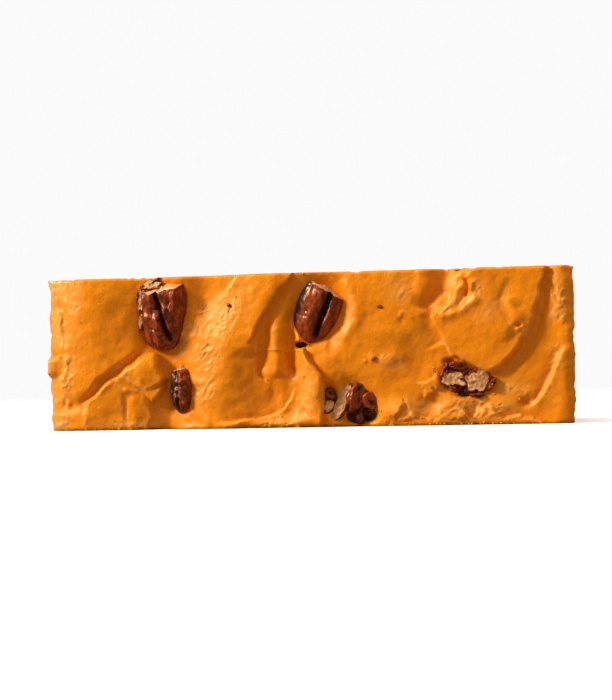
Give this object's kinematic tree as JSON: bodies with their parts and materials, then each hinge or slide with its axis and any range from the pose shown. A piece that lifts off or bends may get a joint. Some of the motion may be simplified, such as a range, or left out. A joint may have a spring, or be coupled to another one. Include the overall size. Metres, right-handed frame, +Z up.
{
  "type": "pecan fudge slice",
  "caption": "Thick oblong slice of fudge lying on a cut side, its swirled poured top set with broken pecans at the front.",
  "frame": {"origin": "middle of the underside, on the surface that the slice lies on", "axes": "+X along the slice's length, +Y from the poured top towards the pan-floor side, +Z up through the slice's thickness"},
  "size_m": [0.13, 0.0692, 0.038],
  "materials": {
    "fudge": "satin orange-tan fudge, creamy folds",
    "pecan": "glossy red-brown pecan skin, pale tan where broken"
  },
  "bodies": {
    "root": {"fudge": "fudge", "pecan_left": "pecan", "pecan_middle": "pecan", "pecan_sliver": "pecan", "pecan_chunk_low": "pecan", "pecan_chunk_right": "pecan"}
  },
  "joints": []
}
